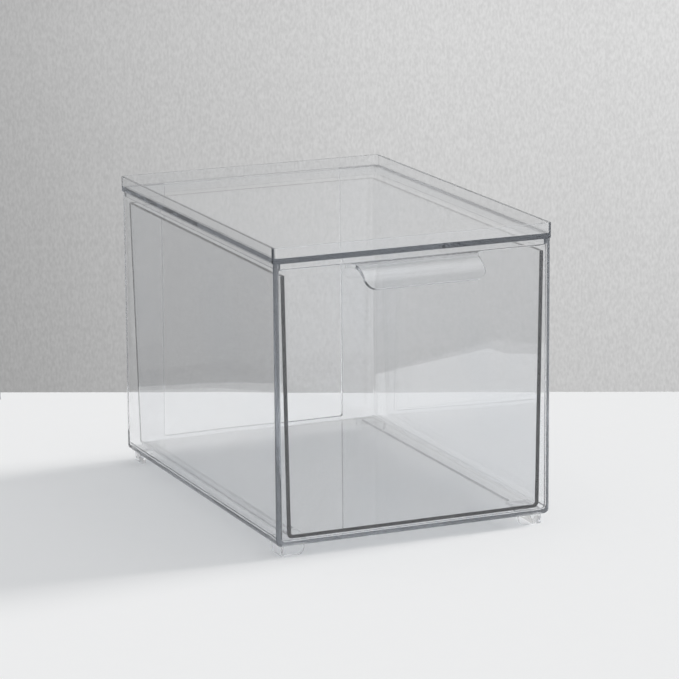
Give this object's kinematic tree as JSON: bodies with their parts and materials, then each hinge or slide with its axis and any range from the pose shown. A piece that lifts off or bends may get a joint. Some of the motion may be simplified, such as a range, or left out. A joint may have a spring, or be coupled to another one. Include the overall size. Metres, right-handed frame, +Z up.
{
  "type": "stackable drawer box",
  "caption": "Clear plastic stackable drawer box: open-front case with a stacking rim and corner feet, and a pull-out tub drawer with a flush front and a curved pull.",
  "frame": {"origin": "centre of the whole box's footprint, pull included, on the surface that it stands on", "axes": "+X to the right seen from the front, -Y out of the front, the way the drawer opens, +Z up"},
  "size_m": [0.2156, 0.3278, 0.2234],
  "materials": {
    "case_clear": "clear, polished",
    "tray_clear": "clear, polished",
    "foot_clear": "clear, polished",
    "tub_clear": "clear, polished",
    "panel_clear": "clear, polished",
    "pull_clear": "clear, polished"
  },
  "bodies": {
    "case": {"case_shell": "case_clear", "top_tray": "tray_clear", "foot_front_left": "foot_clear", "foot_front_right": "foot_clear", "foot_back_left": "foot_clear", "foot_back_right": "foot_clear"},
    "drawer": {"drawer_tub": "tub_clear", "drawer_front": "panel_clear", "drawer_pull": "pull_clear"}
  },
  "joints": [
    {"name": "drawer_slide", "type": "slide", "parent": "case", "child": "drawer", "axis": [0, -1, 0], "range_m": [0, 0.25]}
  ]
}
